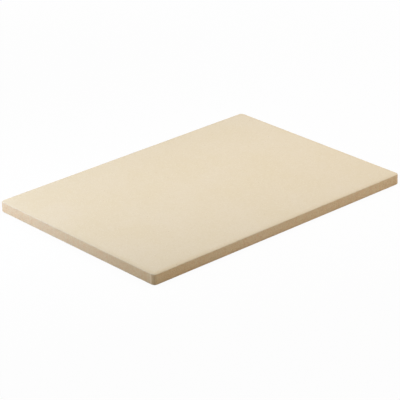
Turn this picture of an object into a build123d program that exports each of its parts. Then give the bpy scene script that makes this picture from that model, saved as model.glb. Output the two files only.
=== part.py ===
from build123d import *

import os

# A rectangular pizza stone: a single slab of pressed and fired cordierite.
# The slab lies on its resting face, with its long sides along X and its
# short sides along Y. The origin is the middle of the resting face.
# All sizes are in millimetres.

# Driving dimensions
slab_length = 420.0
slab_width = 300.0
slab_thickness = 15.0

# Radius of the four upright corners, as seen from above
corner_radius = 5.5

# Radii of the rounded edges that run round the two large faces
baking_edge_radius = 1.0
resting_edge_radius = 1.5


def make_stone_slab():
    """The slab: a rounded rectangle, with both large faces left flat inside their rounded edges."""
    with BuildPart() as slab:
        with BuildSketch(Plane.XY):
            RectangleRounded(slab_length, slab_width, corner_radius)
        extrude(amount=slab_thickness)

        baking_face = slab.faces().sort_by(Axis.Z)[-1]
        fillet(baking_face.edges(), radius=baking_edge_radius)

        resting_face = slab.faces().sort_by(Axis.Z)[0]
        fillet(resting_face.edges(), radius=resting_edge_radius)

    slab.part.label = "stone_slab"
    return slab


os.makedirs("parts", exist_ok=True)
stone_slab = make_stone_slab()
export_step(stone_slab.part, "parts/stone_slab.step")
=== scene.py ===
# %% [markdown]
# # A baking stone of fired cordierite
#
# The object is one slab of ceramic, 420 by 300 mm and 15 mm thick. It was pressed from a damp mix
# of clay, talc and crushed fired clay, which potters call grog, and then fired without a glaze. This
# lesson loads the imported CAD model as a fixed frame, makes the slab's real surface over it with
# Geometry Nodes, gives it the colour and grain of the fired clay, and lights it as a photographer
# would on a white table.

import math

import bpy
from mathutils import Matrix, Vector


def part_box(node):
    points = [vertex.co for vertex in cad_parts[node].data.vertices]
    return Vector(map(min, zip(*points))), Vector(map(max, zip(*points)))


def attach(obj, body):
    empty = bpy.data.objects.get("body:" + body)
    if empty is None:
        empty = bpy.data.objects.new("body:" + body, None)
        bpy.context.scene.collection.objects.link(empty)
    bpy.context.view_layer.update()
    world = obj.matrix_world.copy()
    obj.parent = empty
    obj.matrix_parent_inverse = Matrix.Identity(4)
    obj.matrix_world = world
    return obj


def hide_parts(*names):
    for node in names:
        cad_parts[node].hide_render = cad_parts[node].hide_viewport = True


MM = 0.001

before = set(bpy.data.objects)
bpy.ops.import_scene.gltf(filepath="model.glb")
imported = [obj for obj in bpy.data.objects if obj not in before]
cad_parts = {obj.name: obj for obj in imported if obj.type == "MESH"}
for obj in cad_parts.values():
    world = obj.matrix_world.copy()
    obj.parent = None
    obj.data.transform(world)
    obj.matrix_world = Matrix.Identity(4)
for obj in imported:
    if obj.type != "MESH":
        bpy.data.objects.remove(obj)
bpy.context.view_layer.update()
slab_low, slab_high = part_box("stone_slab")
slab_size = slab_high - slab_low
print("CAD slab in mm:", [round(side / MM, 2) for side in slab_size])

# %% [markdown]
# ## Helpers
#
# Colours are written as sRGB hex values, as a paint chart or a picture editor gives them. Blender
# computes with linear light, so one function turns a hex value into linear numbers.


# %% Turn a hex colour into linear light
def linear(hex_colour):
    channels = [int(hex_colour[i : i + 2], 16) / 255 for i in (1, 3, 5)]
    lit = [c / 12.92 if c <= 0.04045 else ((c + 0.055) / 1.055) ** 2.4 for c in channels]
    return (*lit, 1.0)


print("mid grey #808080 is", round(linear("#808080")[0], 3), "in linear light")

# %% [markdown]
# Geometry and materials are both trees of nodes. One helper adds a node of any kind, sets its
# properties, and fills its inputs: a value that is a socket becomes a link, a node stands for the
# first output that it shows, and any other value is set on the input itself.


# %% Add a node with its settings and links
def add(tree, kind, inputs=None, **settings):
    node = tree.nodes.new(kind)
    for name, value in settings.items():
        setattr(node, name, value)
    for key, value in (inputs or {}).items():
        if isinstance(value, bpy.types.Node):
            value = next(socket for socket in value.outputs if socket.enabled)
        if isinstance(value, bpy.types.NodeSocket):
            tree.links.new(value, node.inputs[key])
        else:
            node.inputs[key].default_value = value
    return node


# %% [markdown]
# A pattern's scale is how many of its features fit in a metre, because everything here is in
# metres. The real size of a feature is easier to think about, so a function turns one into the
# other.


# %% Scale of a pattern from the size of its features in millimetres
def features_of(size_mm):
    return 1000.0 / size_mm


print("features of 2 mm need a scale of", features_of(2))

# %% [markdown]
# ## The slab's shape
#
# On the real stone, a press closes on the damp mix and leaves a flat slab with rounded upright
# corners and a rounded edge round each large face. Such a shape follows a rule, so a Geometry
# Nodes tree can make it from a few sizes: it starts with the grid of a plain box and moves each
# point of the grid to its place on the slab. A box with a Bevel modifier would give the same
# outline but no points on the faces, and the real faces aren't perfectly flat: they slope down a
# little at the rim, they swell and sag by a tenth of a millimetre in the kiln, and the edges pick
# up shallow dents.

# %% Sizes of the slab
cell = 2.0 * MM
edge_rows = 8
side_rows = 6
corner_radius = 5.5 * MM
baking_edge_radius = 1.0 * MM
resting_edge_radius = 1.5 * MM
slope_width = 7.0 * MM
slope_depth = 0.98 * MM
slope_power = 2.0
swell_depth = 0.10 * MM
dent_depth = 0.30 * MM


def even_cells(length):
    """How many cells fit the length, as an even number, so that a grid line runs down the middle."""
    return 2 * round(length / cell / 2)


cells_x = even_cells(slab_size.x)
cells_y = even_cells(slab_size.y)
print("grid cells along X and Y:", cells_x, cells_y)

# %% [markdown]
# The tree's inputs carry the slab's sizes by name, so that they can be changed from the modifier.
# The seed is one of them: it picks which swellings and dents this stone has.

# %% Start the tree with named inputs
slab_tree = bpy.data.node_groups.new("pressed_slab", "GeometryNodeTree")
slab_tree.interface.new_socket("Geometry", in_out="OUTPUT", socket_type="NodeSocketGeometry")
slab_inputs = {
    "Length": slab_size.x,
    "Width": slab_size.y,
    "Thickness": slab_size.z,
    "Corner Radius": corner_radius,
    "Baking Edge Radius": baking_edge_radius,
    "Resting Edge Radius": resting_edge_radius,
    "Slope Width": slope_width,
    "Slope Depth": slope_depth,
    "Swell Depth": swell_depth,
    "Dent Depth": dent_depth,
    "Seed": 7.0,
}
socket_of = {}
for name, value in slab_inputs.items():
    socket = slab_tree.interface.new_socket(name, in_out="INPUT", socket_type="NodeSocketFloat")
    socket.default_value = value
    socket_of[name] = socket.identifier
socket = slab_tree.interface.new_socket("Material", in_out="INPUT", socket_type="NodeSocketMaterial")
socket_of["Material"] = socket.identifier
print("inputs of the slab's tree:", list(socket_of))

# %% [markdown]
# The rest of the tree is arithmetic on each point's place. A Math node holds one operation, so a
# long sum is a chain of them. Each line below adds one link of the chain and names what it gives.

# %% Read the sizes from the inputs
group = add(slab_tree, "NodeGroupInput")
thickness = group.outputs["Thickness"]
corner = group.outputs["Corner Radius"]
baking_radius = group.outputs["Baking Edge Radius"]
resting_radius = group.outputs["Resting Edge Radius"]
slope_fall = group.outputs["Slope Depth"]
sizes_read = (thickness, corner, baking_radius, resting_radius, slope_fall)
print("sizes read from the inputs:", [size.name for size in sizes_read])

# %% [markdown]
# The tree starts with the grid of a plain box. The Position node gives each point's place in it,
# and all that follows works out where the point goes.

# %% Make the box
grid = {"Vertices X": cells_x + 1, "Vertices Y": cells_y + 1, "Vertices Z": side_rows + 1}
box = add(slab_tree, "GeometryNodeMeshCube", {"Size": slab_size, **grid})
position = add(slab_tree, "GeometryNodeInputPosition")
place = add(slab_tree, "ShaderNodeSeparateXYZ", {0: position})
points_on_faces = 2 * (cells_x + 1) * (cells_y + 1)
points_on_sides = 2 * (cells_x + cells_y) * (side_rows - 1)
print("points of the box:", points_on_faces + points_on_sides)

# %% [markdown]
# The box's rows of points are evenly spaced. Near the rim they have to be closer, because a
# rounded edge needs several rows. So each row gets a new distance in from the rim: the first rows
# step round the rounded edge in equal angles, and the other rows share what is left.


# %% The rows on the rounded edge
def step_round_edge(row):
    """A row's distance in from the rim, for the rows on the rounded edge."""
    angle = add(slab_tree, "ShaderNodeMath", {0: row, 1: math.pi / 2 / edge_rows}, operation="MULTIPLY")
    cosine = add(slab_tree, "ShaderNodeMath", {0: angle}, operation="COSINE")
    share = add(slab_tree, "ShaderNodeMath", {0: 1.0, 1: cosine}, operation="SUBTRACT")
    return add(slab_tree, "ShaderNodeMath", {0: baking_radius, 1: share}, operation="MULTIPLY")


turns = [math.pi / 2 * row / edge_rows for row in range(edge_rows + 1)]
steps = [baking_edge_radius * (1.0 - math.cos(turn)) / MM for turn in turns]
print("first rows, mm in from the rim:", [round(step, 3) for step in steps])

# %% [markdown]
# Past the rounded edge the face is almost flat, so evenly spaced rows are enough. They share the
# way from the rounded edge to the middle of the slab.


# %% The rows on the flat part
def step_across_face(row, size_name, cells):
    """A row's distance in from the rim, for the rows past the rounded edge."""
    rows_past = add(slab_tree, "ShaderNodeMath", {0: row, 1: edge_rows}, operation="SUBTRACT")
    share = add(slab_tree, "ShaderNodeMath", {0: rows_past, 1: cells / 2 - edge_rows}, operation="DIVIDE")
    half = add(slab_tree, "ShaderNodeMath", {0: group.outputs[size_name], 1: 0.5}, operation="MULTIPLY")
    flat_half = add(slab_tree, "ShaderNodeMath", {0: half, 1: baking_radius}, operation="SUBTRACT")
    reach = {0: share, 1: flat_half, 2: baking_radius}
    return add(slab_tree, "ShaderNodeMath", reach, operation="MULTIPLY_ADD")


flat_half_mm = (slab_size.x / 2 - baking_edge_radius) / MM
print("other rows along X, mm apart:", round(flat_half_mm / (cells_x / 2 - edge_rows), 2))

# %% [markdown]
# A row's number is the point's distance in from the box's rim, counted in cells. A Mix node then
# picks one of the two rules: A where its factor is 0, which is on the rounded edge, and B where it
# is 1. The same is done along X and along Y, and a point is as far from the rim as the smaller of
# the two says.


# %% Space the rows from the rim
def rim_distance(axis, size_name, size, cells):
    """Each point's new distance in from the rim, along one axis."""
    from_middle = add(slab_tree, "ShaderNodeMath", {0: place.outputs[axis]}, operation="ABSOLUTE")
    from_rim = add(slab_tree, "ShaderNodeMath", {0: size / 2, 1: from_middle}, operation="SUBTRACT")
    rows_in = add(slab_tree, "ShaderNodeMath", {0: from_rim, 1: size / cells}, operation="DIVIDE")
    row = add(slab_tree, "ShaderNodeMath", {0: rows_in}, operation="ROUND")
    past_edge = add(slab_tree, "ShaderNodeMath", {0: row, 1: edge_rows}, operation="GREATER_THAN")
    ways = {"A": step_round_edge(row), "B": step_across_face(row, size_name, cells)}
    return add(slab_tree, "ShaderNodeMix", {0: past_edge, **ways}, data_type="FLOAT")


rim_x = rim_distance("X", "Length", slab_size.x, cells_x)
rim_y = rim_distance("Y", "Width", slab_size.y, cells_y)
rim = add(slab_tree, "ShaderNodeMath", {0: rim_x, 1: rim_y}, operation="MINIMUM")
print("rows of points on the rounded edge:", edge_rows)

# %% [markdown]
# Seen from above, a corner of the grid is a square, and the slab's corner is a quarter of a disc.
# A point of that square keeps its direction from the disc's centre, and its distance shrinks so
# that the square's outline lands on the arc.


# %% Find how much a corner's points move in
def past_arc_centre(rim_along):
    """How far a point lies past the centre of its corner's arc, along one axis."""
    past = add(slab_tree, "ShaderNodeMath", {0: corner, 1: rim_along}, operation="SUBTRACT")
    return add(slab_tree, "ShaderNodeMath", {0: past, 1: 0.0}, operation="MAXIMUM")


tiny = 1e-9
out_x = past_arc_centre(rim_x)
out_y = past_arc_centre(rim_y)
square_y = add(slab_tree, "ShaderNodeMath", {0: out_y, 1: out_y}, operation="MULTIPLY")
squares = add(slab_tree, "ShaderNodeMath", {0: out_x, 1: out_x, 2: square_y}, operation="MULTIPLY_ADD")
diagonal = add(slab_tree, "ShaderNodeMath", {0: squares}, operation="SQRT")
divisor = add(slab_tree, "ShaderNodeMath", {0: diagonal, 1: tiny}, operation="MAXIMUM")
longer = add(slab_tree, "ShaderNodeMath", {0: out_x, 1: out_y}, operation="MAXIMUM")
shrink = add(slab_tree, "ShaderNodeMath", {0: longer, 1: divisor}, operation="DIVIDE")
loss = add(slab_tree, "ShaderNodeMath", {0: 1.0, 1: shrink}, operation="SUBTRACT")
print("a corner's tip moves in by, in mm:", round(corner_radius * (math.sqrt(2) - 1) / MM, 2))

# %% [markdown]
# Only the part of a point's place that lies past the arc's centre shrinks, so the straight sides
# stay where they are. The sign of the old place keeps the point on its own side of the middle.


# %% Round the upright corners
def rounded_place(axis, size_name, rim_along, out_along):
    """The point's new place along one axis."""
    lost = add(slab_tree, "ShaderNodeMath", {0: out_along, 1: loss}, operation="MULTIPLY")
    inset = add(slab_tree, "ShaderNodeMath", {0: rim_along, 1: lost}, operation="ADD")
    half = add(slab_tree, "ShaderNodeMath", {0: group.outputs[size_name], 1: 0.5}, operation="MULTIPLY")
    reach = add(slab_tree, "ShaderNodeMath", {0: half, 1: inset}, operation="SUBTRACT")
    way = add(slab_tree, "ShaderNodeMath", {0: place.outputs[axis]}, operation="SIGN")
    return add(slab_tree, "ShaderNodeMath", {0: way, 1: reach}, operation="MULTIPLY")


slab_x = rounded_place("X", "Length", rim_x, out_x)
slab_y = rounded_place("Y", "Width", rim_y, out_y)
print("corner radius in mm:", round(corner_radius / MM, 2))

# %% [markdown]
# A point of a large face that is further in than the edge's radius lies on the face, and one
# nearer to the rim drops along the rounding.


# %% Round the edges of the two large faces
def edge_drop(radius):
    """How far the rounding lies below its face at each point's distance from the rim."""
    left = add(slab_tree, "ShaderNodeMath", {0: radius, 1: rim}, operation="SUBTRACT")
    short = add(slab_tree, "ShaderNodeMath", {0: left, 1: 0.0}, operation="MAXIMUM")
    across = add(slab_tree, "ShaderNodeMath", {0: short, 1: short}, operation="MULTIPLY")
    whole = add(slab_tree, "ShaderNodeMath", {0: radius, 1: radius}, operation="MULTIPLY")
    upward = add(slab_tree, "ShaderNodeMath", {0: whole, 1: across}, operation="SUBTRACT")
    rise = add(slab_tree, "ShaderNodeMath", {0: upward}, operation="SQRT")
    return add(slab_tree, "ShaderNodeMath", {0: radius, 1: rise}, operation="SUBTRACT")


baking_drop = edge_drop(baking_radius)
resting_drop = edge_drop(resting_radius)
print("edge radii in mm:", round(baking_edge_radius / MM, 2), round(resting_edge_radius / MM, 2))

# %% [markdown]
# The baking face isn't flat right up to its edge. The press packs the mix a little less at the
# rim, so the last 7 mm slope down by less than a millimetre. The eye doesn't see the height, but
# it sees that this band is a shade darker where it turns away from the light. The slope's share
# runs from 1 at the rim to 0 where the slope starts, and a power of it keeps that start smooth.
# The Map Range node that gives the share turns one range into another: its inputs 1 and 2 are the
# ends of the old range, and its inputs 3 and 4 those of the new one.

# %% Slope the rim of the baking face
slope_ends = {1: 0.0, 2: group.outputs["Slope Width"], 3: 1.0, 4: 0.0}
slope_share = add(slab_tree, "ShaderNodeMapRange", {0: rim, **slope_ends}, clamp=True)
slope_curve = add(slab_tree, "ShaderNodeMath", {0: slope_share, 1: slope_power}, operation="POWER")
slope_drop = add(slab_tree, "ShaderNodeMath", {0: slope_curve, 1: slope_fall}, operation="MULTIPLY")
whole_drop = add(slab_tree, "ShaderNodeMath", {0: baking_drop, 1: slope_drop}, operation="ADD")
on_baking_face = add(slab_tree, "ShaderNodeMath", {0: thickness, 1: whole_drop}, operation="SUBTRACT")
print("slope of the rim in mm:", round(slope_width / MM, 2), "wide,", round(slope_depth / MM, 2), "deep")

# %% [markdown]
# The points of the sides are spread evenly between the rounding at the top, which the slope has
# lowered, and the one at the bottom. A point's level in the box runs from 0 at the resting face to
# 1 at the baking face.

# %% Spread the points of the sides
rim_height = add(slab_tree, "ShaderNodeMath", {0: thickness, 1: slope_fall}, operation="SUBTRACT")
both_radii = add(slab_tree, "ShaderNodeMath", {0: baking_radius, 1: resting_radius}, operation="ADD")
side_height = add(slab_tree, "ShaderNodeMath", {0: rim_height, 1: both_radii}, operation="SUBTRACT")
tall = add(slab_tree, "ShaderNodeMath", {0: place.outputs["Z"], 1: slab_size.z}, operation="DIVIDE")
level = add(slab_tree, "ShaderNodeMath", {0: tall, 1: 0.5}, operation="ADD")
side_way = {0: level, 1: side_height, 2: resting_radius}
on_side = add(slab_tree, "ShaderNodeMath", side_way, operation="MULTIPLY_ADD")
print("rows of points on the sides:", side_rows - 1)

# %% [markdown]
# Each point takes the height of the face or the side that it is on, and then all of them move.
#
# The material needs the slope's share later. Every node works its inputs out anew from the points
# as they lie at that node, so the share is stored here, while they still lie on the plain box.

# %% Put every point in its place
half_row = 0.5 / side_rows
is_top = add(slab_tree, "ShaderNodeMath", {0: level, 1: 1.0 - half_row}, operation="GREATER_THAN")
is_bottom = add(slab_tree, "ShaderNodeMath", {0: level, 1: half_row}, operation="LESS_THAN")
above = add(slab_tree, "ShaderNodeMix", {0: is_top, "A": on_side, "B": on_baking_face}, data_type="FLOAT")
slab_z = add(slab_tree, "ShaderNodeMix", {0: is_bottom, "A": above, "B": resting_drop}, data_type="FLOAT")
rim_kept = add(
    slab_tree,
    "GeometryNodeStoreNamedAttribute",
    {"Geometry": box, "Name": "rim", "Value": slope_share},
    data_type="FLOAT",
    domain="POINT",
)
slab_place = add(slab_tree, "ShaderNodeCombineXYZ", {"X": slab_x, "Y": slab_y, "Z": slab_z})
shaped = add(slab_tree, "GeometryNodeSetPosition", {"Geometry": rim_kept, "Position": slab_place})
print("height of the rim in mm:", round((slab_size.z - slope_depth) / MM, 2))

# %% [markdown]
# The material has to know where the sides are too. The direction that the surface faces tells it:
# the sides face outwards, and only the rounded edges face half out and half up or down. This mask
# is kept on the mesh as a named attribute. A second one, which is strong on the rounded edges of
# the two faces only, says where the dents of the next step may sit. It is the product of how flat
# and how steep the surface is, which is a quarter at most, halfway round an edge, so four times
# the product runs from 0 to 1.

# %% Mark the sides and the edges
side_from = 0.5
edge_gain = 4.0
normal = add(slab_tree, "GeometryNodeInputNormal")
facing = add(slab_tree, "ShaderNodeSeparateXYZ", {0: normal})
facing_up = facing.outputs["Z"]
flatness = add(slab_tree, "ShaderNodeMath", {0: facing_up, 1: facing_up}, operation="MULTIPLY")
steepness = add(slab_tree, "ShaderNodeMath", {0: 1.0, 1: flatness}, operation="SUBTRACT")
side_mask = add(slab_tree, "ShaderNodeMapRange", {0: steepness, 1: side_from, 2: 1.0}, clamp=True)
both_parts = add(slab_tree, "ShaderNodeMath", {0: flatness, 1: steepness}, operation="MULTIPLY")
edge_mask = add(slab_tree, "ShaderNodeMath", {0: both_parts, 1: edge_gain}, operation="MULTIPLY")
side_kept = add(
    slab_tree,
    "GeometryNodeStoreNamedAttribute",
    {"Geometry": shaped, "Name": "side", "Value": side_mask},
    data_type="FLOAT",
    domain="POINT",
)
print("attributes kept:", [kept.inputs["Name"].default_value for kept in (rim_kept, side_kept)])

# %% [markdown]
# Firing leaves the faces a little uneven, and handling leaves shallow dents along the edges. Both
# move the surface inwards only, so that the stone never grows past the size of the CAD slab. The
# swelling is a smooth noise with features of 90 mm. The seed slides it, and the dents' pattern
# too, to another part of their endless field.

# %% Swell the faces
swell_span_mm = 90
seed_move = {0: position, 1: group.outputs["Seed"]}
pattern_place = add(slab_tree, "ShaderNodeVectorMath", seed_move, operation="ADD")
swell = add(
    slab_tree,
    "ShaderNodeTexNoise",
    {"Vector": pattern_place, "Scale": features_of(swell_span_mm), "Detail": 1.0},
)
swell_most = group.outputs["Swell Depth"]
swell_move = add(slab_tree, "ShaderNodeMath", {0: swell, 1: swell_most}, operation="MULTIPLY")
print("the faces sink by up to, in mm:", round(swell_depth / MM, 2))

# %% [markdown]
# The dents are the middles of the cells of a Voronoi pattern, kept only where the edge mark is
# strong. Each cell's random colour gives its dent's size, up to about a third of the spacing. A
# dent is deepest in its middle and fades to its rim.

# %% Dent the edges
dent_spacing_mm = 16
dent_reach = 0.34
dent_cells = add(
    slab_tree,
    "ShaderNodeTexVoronoi",
    {"Vector": pattern_place, "Scale": features_of(dent_spacing_mm)},
    feature="F1",
)
dent_most = group.outputs["Dent Depth"]
dent_chance = add(slab_tree, "FunctionNodeSeparateColor", {0: dent_cells.outputs["Color"]})
dent_size = add(slab_tree, "ShaderNodeMath", {0: dent_chance, 1: dent_reach}, operation="MULTIPLY")
within = add(slab_tree, "ShaderNodeMath", {0: dent_size, 1: dent_cells}, operation="SUBTRACT")
dent = add(slab_tree, "ShaderNodeMath", {0: within, 1: dent_reach}, operation="DIVIDE", use_clamp=True)
dent_here = add(slab_tree, "ShaderNodeMath", {0: dent, 1: edge_mask}, operation="MULTIPLY")
dent_move = add(slab_tree, "ShaderNodeMath", {0: dent_here, 1: dent_most}, operation="MULTIPLY")
print("widest dent in mm:", round(2 * dent_reach * dent_spacing_mm, 1))

# %% [markdown]
# Both moves are added up and turned inwards, against the way that the surface faces.

# %% Move the surface in
both_moves = add(slab_tree, "ShaderNodeMath", {0: swell_move, 1: dent_move}, operation="ADD")
inward = add(slab_tree, "ShaderNodeMath", {0: both_moves, 1: -1.0}, operation="MULTIPLY")
shift = add(slab_tree, "ShaderNodeVectorMath", {0: normal, "Scale": inward}, operation="SCALE")
weathered = add(slab_tree, "GeometryNodeSetPosition", {"Geometry": side_kept, "Offset": shift})
print("a point moves in by at most, in mm:", round((swell_depth + dent_depth) / MM, 2))

# %% [markdown]
# Smooth shading makes the rows of the rounded edges read as one curve. The tree ends with Realize
# Instances, so that nothing but plain mesh leaves it, and with the material.

# %% Smooth the shading, set the material and end the tree
smooth = add(slab_tree, "GeometryNodeSetShadeSmooth", {"Geometry": weathered})
real = add(slab_tree, "GeometryNodeRealizeInstances", {"Geometry": smooth})
clay_input = group.outputs["Material"]
finished = add(slab_tree, "GeometryNodeSetMaterial", {"Geometry": real, "Material": clay_input})
add(slab_tree, "NodeGroupOutput", {"Geometry": finished})
print("nodes in the slab's tree:", len(slab_tree.nodes))

# %% [markdown]
# ## Unglazed cordierite, pressed and fired
#
# The fired clay is cream and quite matte. The eye sees three things in it: broad clouds where the
# mix was pressed a little harder or fired a little hotter, grains of grog that are paler or
# browner than the body, and a few tiny brown specks of iron. The patterns read Object coordinates,
# so they run through the slab like real grain and meet at its edges without a seam.

# %% Start the material
clay = bpy.data.materials.new("unglazed_cordierite")
clay.use_nodes = True
clay_tree = clay.node_tree
clay_tree.nodes.clear()
where = add(clay_tree, "ShaderNodeTexCoord").outputs["Object"]
print("material:", clay.name)

# %% [markdown]
# Clouds: two noises, one with features of 70 mm and one of 9 mm. A stone that isn't used yet is
# very even, so they are faint: from one end to the other they change the written red and green
# by about one per cent and the blue by four, which makes a cloud warmer more than darker. A noise
# seldom leaves the range from 0.35 to 0.65, so a Map Range node stretches that part of it to run
# from 0 to 1. A Mix node keeps its two colours in inputs 6 and 7.

# %% Clouds in the body
body = linear("#E3D6BE")
body_warm = linear("#E1D3B7")
noise_low = 0.35
noise_high = 0.65
cloud_share = 0.6
cloud_scale = features_of(70)
patch_scale = features_of(9)
clouds = add(clay_tree, "ShaderNodeTexNoise", {"Vector": where, "Scale": cloud_scale, "Detail": 2.0})
patches = add(clay_tree, "ShaderNodeTexNoise", {"Vector": where, "Scale": patch_scale, "Detail": 3.0})
cloudy = add(clay_tree, "ShaderNodeMix", {0: cloud_share, "A": patches, "B": clouds}, data_type="FLOAT")
warm_here = add(clay_tree, "ShaderNodeMapRange", {0: cloudy, 1: noise_low, 2: noise_high}, clamp=True)
colour = add(clay_tree, "ShaderNodeMix", {0: warm_here, 6: body, 7: body_warm}, data_type="RGBA")
print("body colour in linear light:", [round(c, 3) for c in body[:3]])

# %% [markdown]
# Grog is sieved to about half a millimetre to one millimetre. In this picture a pixel covers
# 1.3 mm, so the grains are drawn 1.6 mm apart and nearly as wide, to show at all. A Voronoi
# pattern gives each grain a random colour. The grains with the most red in it are drawn paler than
# the body, those with the least are drawn browner, and the others aren't drawn.

# %% The grains' pattern
grain_spacing_mm = 1.6
grain_scale = features_of(grain_spacing_mm)
grain_rim = 0.55
grain_heart = 0.25
grains = add(clay_tree, "ShaderNodeTexVoronoi", {"Vector": where, "Scale": grain_scale}, feature="F1")
grain_red = add(clay_tree, "ShaderNodeSeparateColor", {0: grains.outputs["Color"]})
grain_core = add(clay_tree, "ShaderNodeMapRange", {0: grains, 1: grain_rim, 2: grain_heart}, clamp=True)
print("grains to a square cm, about:", round((10 / grain_spacing_mm) ** 2))

# %% [markdown]
# The two kinds are drawn one after the other. A grain has its full colour at its heart and fades
# into the body towards its rim, as the real ones do where they are half buried.


# %% Grains of grog
def with_grog(plain, grog, red_from, red_full):
    """The colour with one kind of grog in it: the grains whose red lies past red_from."""
    chosen = add(clay_tree, "ShaderNodeMapRange", {0: grain_red, 1: red_from, 2: red_full}, clamp=True)
    drawn = add(clay_tree, "ShaderNodeMath", {0: chosen, 1: grain_core}, operation="MULTIPLY")
    return add(clay_tree, "ShaderNodeMix", {0: drawn, 6: plain, 7: grog}, data_type="RGBA")


grog_pale = linear("#E7DCC4")
grog_brown = linear("#DDCFB2")
pale_from = 0.70
pale_full = 0.80
brown_from = 0.25
brown_full = 0.15
colour = with_grog(colour, grog_pale, pale_from, pale_full)
colour = with_grog(colour, grog_brown, brown_from, brown_full)
print("share of grains that are drawn:", round(1.0 - (pale_from - brown_from), 2))

# %% [markdown]
# Iron specks are rarer: one in about every thirty square centimetres of a face, half a millimetre
# wide on the real stone and drawn just under one. The pattern fills the whole slab with points
# 14 mm apart, and a speck shows only where a face passes close by its point.

# %% Specks of iron
iron = linear("#AE8E66")
speck_spacing_mm = 14
speck_rim = 0.035
speck_heart = 0.02
speck_scale = features_of(speck_spacing_mm)
specks = add(clay_tree, "ShaderNodeTexVoronoi", {"Vector": where, "Scale": speck_scale}, feature="F1")
speck = add(clay_tree, "ShaderNodeMapRange", {0: specks, 1: speck_rim, 2: speck_heart}, clamp=True)
colour = add(clay_tree, "ShaderNodeMix", {0: speck, 6: colour, 7: iron}, data_type="RGBA")
speck_width_mm = 2 * speck_rim * speck_spacing_mm
area_each_mm2 = speck_spacing_mm**3 / speck_width_mm
print("square cm for each speck:", round(area_each_mm2 / 100), "width in mm:", round(speck_width_mm, 2))

# %% [markdown]
# The sides slid along the wall of the die when the slab was pushed out of it. That leaves faint upright
# marks 4 mm apart on them and small torn pits between them. The marks are a noise stretched along Z: its
# height is scaled down before it reaches the noise.

# %% Drag marks and torn pits
drag_scale = features_of(4)
drag_height = 0.2
torn_scale = features_of(1.8)
torn_from = 0.45
torn_full = 0.65
upright = add(clay_tree, "ShaderNodeMapping", {0: where, "Scale": (1.0, 1.0, drag_height)})
drag = add(clay_tree, "ShaderNodeTexNoise", {"Vector": upright, "Scale": drag_scale, "Detail": 3.0})
torn = add(clay_tree, "ShaderNodeTexNoise", {"Vector": where, "Scale": torn_scale, "Detail": 2.0})
dragged = add(clay_tree, "ShaderNodeMapRange", {0: drag, 1: noise_low, 2: noise_high}, clamp=True)
torn_share = add(clay_tree, "ShaderNodeMapRange", {0: torn, 1: torn_from, 2: torn_full}, clamp=True)
print("the drag marks are drawn out along Z by a factor of", round(1 / drag_height))

# %% [markdown]
# The brown of the sides is painted shade: it draws the sides darker and warmer than the faces, as the light
# on them makes them look. The drag marks and the torn pits are two stains on the clay. A Mix node that
# multiplies lays each of the three on as a thin wash would: it takes away a share of the colour that is
# there. The attribute called side, which the slab's tree stored, keeps all three off the faces.

# %% Painted shade on the sides, and their marks
# painted shade: the sides are drawn browner and darker than the faces
side_painted_shade = linear("#FFF8EC")
drag_tint = linear("#FFFBF7")
torn_tint = linear("#FDF2ED")
side_mark = add(clay_tree, "ShaderNodeAttribute", attribute_name="side", attribute_type="GEOMETRY")
side = side_mark.outputs["Fac"]
side_colour = colour
for stain, share in ((side_painted_shade, 1.0), (drag_tint, dragged), (torn_tint, torn_share)):
    wash = {0: share, 6: side_colour, 7: stain}
    side_colour = add(clay_tree, "ShaderNodeMix", wash, data_type="RGBA", blend_type="MULTIPLY")
colour = add(clay_tree, "ShaderNodeMix", {0: side, 6: colour, 7: side_colour}, data_type="RGBA")
print("the sides keep this share of the blue:", round(side_painted_shade[2], 2))

# %% [markdown]
# This is painted shade at the near corner: the sides and the last few millimetres of the faces are drawn
# browner and darker within 130 mm of it, where the rim turns away from the light, and keep a trace of it
# further away. The distance from the corner gives the strength, and the attribute called rim, which rises
# towards the edge, keeps it off the open face.

# %% Painted shade at the near corner
# painted shade: the near corner's sides and rims are drawn browner and darker
corner_shade_tint = linear("#FBF5E8")
corner_shade_reach = 130 * MM
corner_shade_trace = 0.3
rim_share = 0.6
rim_full = 0.5
corner_place = (-slab_size.x / 2, -slab_size.y / 2, 0.0)
from_corner = add(clay_tree, "ShaderNodeVectorMath", {0: where, 1: corner_place}, operation="DISTANCE")
fading = {0: from_corner, 1: 0.0, 2: corner_shade_reach, 3: 1.0, 4: corner_shade_trace}
near_corner = add(clay_tree, "ShaderNodeMapRange", fading, clamp=True)
rim_mark = add(clay_tree, "ShaderNodeAttribute", attribute_name="rim", attribute_type="GEOMETRY")
rising = {0: rim_mark.outputs["Fac"], 1: 0.0, 2: rim_full, 3: 0.0, 4: rim_share}
rim_band = add(clay_tree, "ShaderNodeMapRange", rising, clamp=True)
edge_band = add(clay_tree, "ShaderNodeMath", {0: side, 1: rim_band}, operation="MAXIMUM")
corner_shade = add(clay_tree, "ShaderNodeMath", {0: edge_band, 1: near_corner}, operation="MULTIPLY")
wash = {0: corner_shade, 6: colour, 7: corner_shade_tint}
colour = add(clay_tree, "ShaderNodeMix", wash, data_type="RGBA", blend_type="MULTIPLY")
# how far the painted shade at the near corner reaches
print("flashing reaches, in mm:", round(corner_shade_reach / MM))
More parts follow.
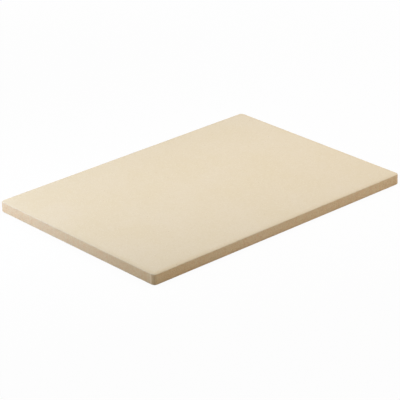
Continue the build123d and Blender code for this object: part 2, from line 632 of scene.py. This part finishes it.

# %% [markdown]
# A painted highlight: a pale line about 2 mm wide is drawn up the short side just before it turns into the
# upright corner nearest the camera. The clay pales towards an upright axis on that side. A scale of zero
# along Z turns the distance from a point into the distance from an axis, and a noise of 5 mm makes the line
# stronger here and weaker there.

# %% A painted highlight beside the corner
# painted highlight: a pale upright line beside the near corner
corner_highlight = linear("#F8E7CA")
highlight_strength = 0.6
highlight_from_corner = 6.5 * MM
highlight_reach = 1.7 * MM
highlight_scale = features_of(5)
flattened = add(clay_tree, "ShaderNodeMapping", {0: where, "Scale": (1.0, 1.0, 0.0)})
line_place = (-slab_size.x / 2, -slab_size.y / 2 + highlight_from_corner, 0.0)
from_line = add(clay_tree, "ShaderNodeVectorMath", {0: flattened, 1: line_place}, operation="DISTANCE")
on_line = add(clay_tree, "ShaderNodeMapRange", {0: from_line, 1: highlight_reach, 2: 0.0}, clamp=True)
highlight_noise = add(clay_tree, "ShaderNodeTexNoise", {"Vector": where, "Scale": highlight_scale, "Detail": 2.0})
varying = {0: highlight_noise, 1: noise_low, 2: noise_high, 3: highlight_strength / 2, 4: highlight_strength}
highlight_here = add(clay_tree, "ShaderNodeMapRange", varying, clamp=True)
highlight_share = add(clay_tree, "ShaderNodeMath", {0: on_line, 1: highlight_here}, operation="MULTIPLY")
colour = add(clay_tree, "ShaderNodeMix", {0: highlight_share, 6: colour, 7: corner_highlight}, data_type="RGBA")
# where the painted highlight lies
print("rubbed line, mm from the end of the side:", round(highlight_from_corner / MM, 1))

# %% [markdown]
# The surface feels like fine sandpaper. Its pits are about 0.3 mm wide on the real stone, too fine
# to show here, so they are drawn 1.2 mm wide and very shallow. The torn pits of the sides are
# deeper, so they get a bump of their own on top of the first.

# %% Relief of the grain
pit_scale = features_of(1.2)
pit_depth = 0.15 * MM
pit_strength = 0.15
torn_depth = 0.16 * MM
pit_pattern = {"Vector": where, "Scale": pit_scale, "Detail": 4.0, "Roughness": 0.6}
pits = add(clay_tree, "ShaderNodeTexNoise", pit_pattern)
pit_relief = {"Height": pits, "Strength": pit_strength, "Distance": pit_depth}
relief = add(clay_tree, "ShaderNodeBump", pit_relief)
torn_here = add(clay_tree, "ShaderNodeMath", {0: torn_share, 1: side}, operation="MULTIPLY")
deeper_relief = {"Height": torn_here, "Distance": torn_depth, "Normal": relief}
torn_relief = add(clay_tree, "ShaderNodeBump", deeper_relief, invert=True)
print("depth of the pits and of the torn ones, in mm:", round(pit_depth / MM, 2), round(torn_depth / MM, 2))

# %% [markdown]
# The pits' noise moves the roughness too, because a pit scatters the light more than the rubbed
# skin round it. Fired clay has an index of refraction near 1.5, and no coat.

# %% The clay's shader
pit_low = 0.3
pit_high = 0.7
least_rough = 0.82
most_rough = 0.95
clay_ior = 1.5
rubbing = {0: pits, 1: pit_low, 2: pit_high, 3: most_rough, 4: least_rough}
rough = add(clay_tree, "ShaderNodeMapRange", rubbing, clamp=True)
shader = add(
    clay_tree,
    "ShaderNodeBsdfPrincipled",
    {"Base Color": colour, "Roughness": rough, "IOR": clay_ior, "Normal": torn_relief},
)
add(clay_tree, "ShaderNodeOutputMaterial", {"Surface": shader})
print("nodes in the clay:", len(clay_tree.nodes))

# %% [markdown]
# ## The finished slab
#
# The tree is a modifier on an empty mesh. Its inputs are set by the identifiers of their sockets,
# and then Blender works the tree out once and keeps the result as a plain mesh. The mesh rides on
# the model's one body and stands for the CAD slab, which stays for collision.

# %% Make the slab
stone = bpy.data.objects.new("baking_stone", bpy.data.meshes.new("baking_stone"))
bpy.context.collection.objects.link(stone)
modifier = stone.modifiers.new("pressed_slab", "NODES")
modifier.node_group = slab_tree
for name, value in slab_inputs.items():
    modifier[socket_of[name]] = value
modifier[socket_of["Material"]] = clay
depsgraph = bpy.context.evaluated_depsgraph_get()
mesh = bpy.data.meshes.new_from_object(stone.evaluated_get(depsgraph))
stone.modifiers.remove(modifier)
stone.data = mesh
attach(stone, "root")
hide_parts("stone_slab")
triangles = sum(len(face.vertices) - 2 for face in mesh.polygons)
print("slab:", len(mesh.vertices), "points,", triangles, "triangles")

# %% [markdown]
# ## The camera
#
# A photograph of a rectangle tells where the camera stood: its edges run towards two vanishing
# points, and the slab's thickness says how high the eye was. The numbers here put the edges of the
# slab within about a third of a pixel of the photographed ones, in a picture 400 pixels wide.
# The lens is long and far away, as for a catalogue, so the edges hardly converge. The distance and
# the aim are in slab lengths, so they follow the slab if its size changes.

# %% Camera
picture_width = 400
sensor_width = 36.0
focal_pixels = 2070.3
azimuth = math.radians(-41.261)
elevation = math.radians(24.315)
roll = math.radians(-1.592)
distance = 6.280 * slab_size.x
target = Vector((-0.0420, -0.0394, 0.01726)) * slab_size.x
level_out = math.cos(elevation)
back = Vector((math.sin(azimuth) * level_out, -math.cos(azimuth) * level_out, math.sin(elevation)))
right = Vector((math.cos(azimuth), math.sin(azimuth), 0.0))
up = back.cross(right)
rolled_right = right * math.cos(roll) + up * math.sin(roll)
rolled_up = up * math.cos(roll) - right * math.sin(roll)
turn = Matrix((rolled_right, rolled_up, back)).transposed().to_4x4()
camera = bpy.data.objects.new("camera", bpy.data.cameras.new("camera"))
bpy.context.collection.objects.link(camera)
camera.data.sensor_width = sensor_width
camera.data.lens = focal_pixels * sensor_width / picture_width
camera.data.clip_end = 100.0
camera.matrix_world = Matrix.Translation(target + back * distance) @ turn
bpy.context.scene.camera = camera
print("lens in mm:", round(camera.data.lens, 1), "distance in m:", round(distance, 3))

# %% [markdown]
# ## The table, the room and the lamps
#
# The stone lies on white paper that runs on behind it, so that no horizon shows. Lamps alone would
# leave the paper grey, and lamps strong enough to make it white would bleach the stone. So the
# paper glows white only for rays from the camera, from mirror-like reflections and through clear
# materials: the Light Path node says which ray is asking, and rays that carry light on to the
# stone meet plain paper. Close to the stone a small share of the plain paper is kept for the
# camera too, which keeps the stone's shadow.


# %% White paper
def seen_directly(tree):
    """1 for rays from the camera, a reflection or a clear material, and 0 for other rays."""
    path = add(tree, "ShaderNodeLightPath")
    first = {0: path.outputs["Is Camera Ray"], 1: path.outputs["Is Glossy Ray"]}
    either = add(tree, "ShaderNodeMath", first, operation="MAXIMUM")
    last = {0: either, 1: path.outputs["Is Transmission Ray"]}
    return add(tree, "ShaderNodeMath", last, operation="MAXIMUM")


near_stone = 0.35
open_table = 1.0
glow_near_stone = 0.95
paper = bpy.data.materials.new("white_table_paper")
paper.use_nodes = True
paper_tree = paper.node_tree
paper_tree.nodes.clear()
plain_paper = add(paper_tree, "ShaderNodeBsdfDiffuse", {"Color": linear("#F2F2F2")})
glow = add(paper_tree, "ShaderNodeEmission", {"Color": (1.0, 1.0, 1.0, 1.0), "Strength": 1.0})
table_place = add(paper_tree, "ShaderNodeTexCoord").outputs["Object"]
away = add(paper_tree, "ShaderNodeVectorMath", {0: table_place}, operation="LENGTH")
fade = {0: away, 1: near_stone, 2: open_table, 3: glow_near_stone, 4: 1.0}
glow_share = add(paper_tree, "ShaderNodeMapRange", fade, clamp=True)
asked = {0: seen_directly(paper_tree), 1: glow_share}
glowing = add(paper_tree, "ShaderNodeMath", asked, operation="MULTIPLY")
paper_look = {0: glowing, 1: plain_paper, 2: glow}
paper_shader = add(paper_tree, "ShaderNodeMixShader", paper_look)
add(paper_tree, "ShaderNodeOutputMaterial", {"Surface": paper_shader})
print("the paper near the stone glows by", glow_near_stone, "of white")

# %% [markdown]
# The table is one large square at the height of the stone's resting face.

# %% Table
table_half = 6.0
corners = [(x * table_half, y * table_half, 0.0) for x, y in ((-1, -1), (1, -1), (1, 1), (-1, 1))]
table_mesh = bpy.data.meshes.new("table")
table_mesh.from_pydata(corners, [], [(0, 1, 2, 3)])
table_mesh.materials.append(paper)
table = bpy.data.objects.new("table", table_mesh)
bpy.context.collection.objects.link(table)
print("table in m:", 2 * table_half, "square")

# %% [markdown]
# The world is a dim room that fills the shadows a little. Past the table's edge the camera sees
# the same white as the paper.

# %% Room
room_light = 0.08
room = bpy.data.worlds.new("studio")
bpy.context.scene.world = room
room.use_nodes = True
room_tree = room.node_tree
room_tree.nodes.clear()
dim = add(room_tree, "ShaderNodeBackground", {"Color": (1.0, 1.0, 1.0, 1.0), "Strength": room_light})
white = add(room_tree, "ShaderNodeBackground", {"Color": (1.0, 1.0, 1.0, 1.0), "Strength": 1.0})
room_look = {0: seen_directly(room_tree), 1: dim, 2: white}
room_shader = add(room_tree, "ShaderNodeMixShader", room_look)
add(room_tree, "ShaderNodeOutputWorld", {"Surface": room_shader})
print("strength of the room's light:", room_light)

# %% [markdown]
# The photograph shows soft light with no hard shadow. The stone is brightest at its left corner,
# dimmest at the near one, and its long side is darker and warmer than its short side. Four soft
# boxes give that: a small cool key close to the left corner, two neutral ones overhead, and a warm
# one at the front right, such as light that comes back from a wooden floor. Each is given by its
# place and its size in metres, its power in watts and its colour in linear light.


# %% Lamps
def softbox(name, place, size, power, colour):
    lamp = bpy.data.lights.new(name, "AREA")
    lamp.shape = "RECTANGLE"
    lamp.size, lamp.size_y = size
    lamp.energy = power
    lamp.color = colour
    holder = bpy.data.objects.new(name, lamp)
    bpy.context.collection.objects.link(holder)
    holder.location = place
    holder.rotation_mode = "QUATERNION"
    holder.rotation_quaternion = (-Vector(place)).to_track_quat("-Z", "Y")
    holder.visible_camera = False
    print(name, "watts:", power)


softbox("key_softbox", (-0.5, 0.3, 0.15), (0.25, 0.25), 1.27, (0.645, 0.732, 1.0))
softbox("left_overhead_softbox", (-0.25, 0.15, 0.6), (0.6, 0.6), 2.13, (0.99, 1.0, 0.945))
softbox("right_overhead_softbox", (0.35, 0.0, 0.7), (0.7, 0.7), 3.98, (0.989, 0.976, 1.0))
softbox("front_softbox", (0.8, -1.0, 0.6), (0.7, 0.7), 3.52, (1.0, 0.779, 0.555))

# %% [markdown]
# The Standard view shows colours as they were written. The default view is made for bright scenes
# and would grey the cream of the clay and the white of the paper.

# %% View
bpy.context.scene.view_settings.view_transform = "Standard"
print("view:", bpy.context.scene.view_settings.view_transform)
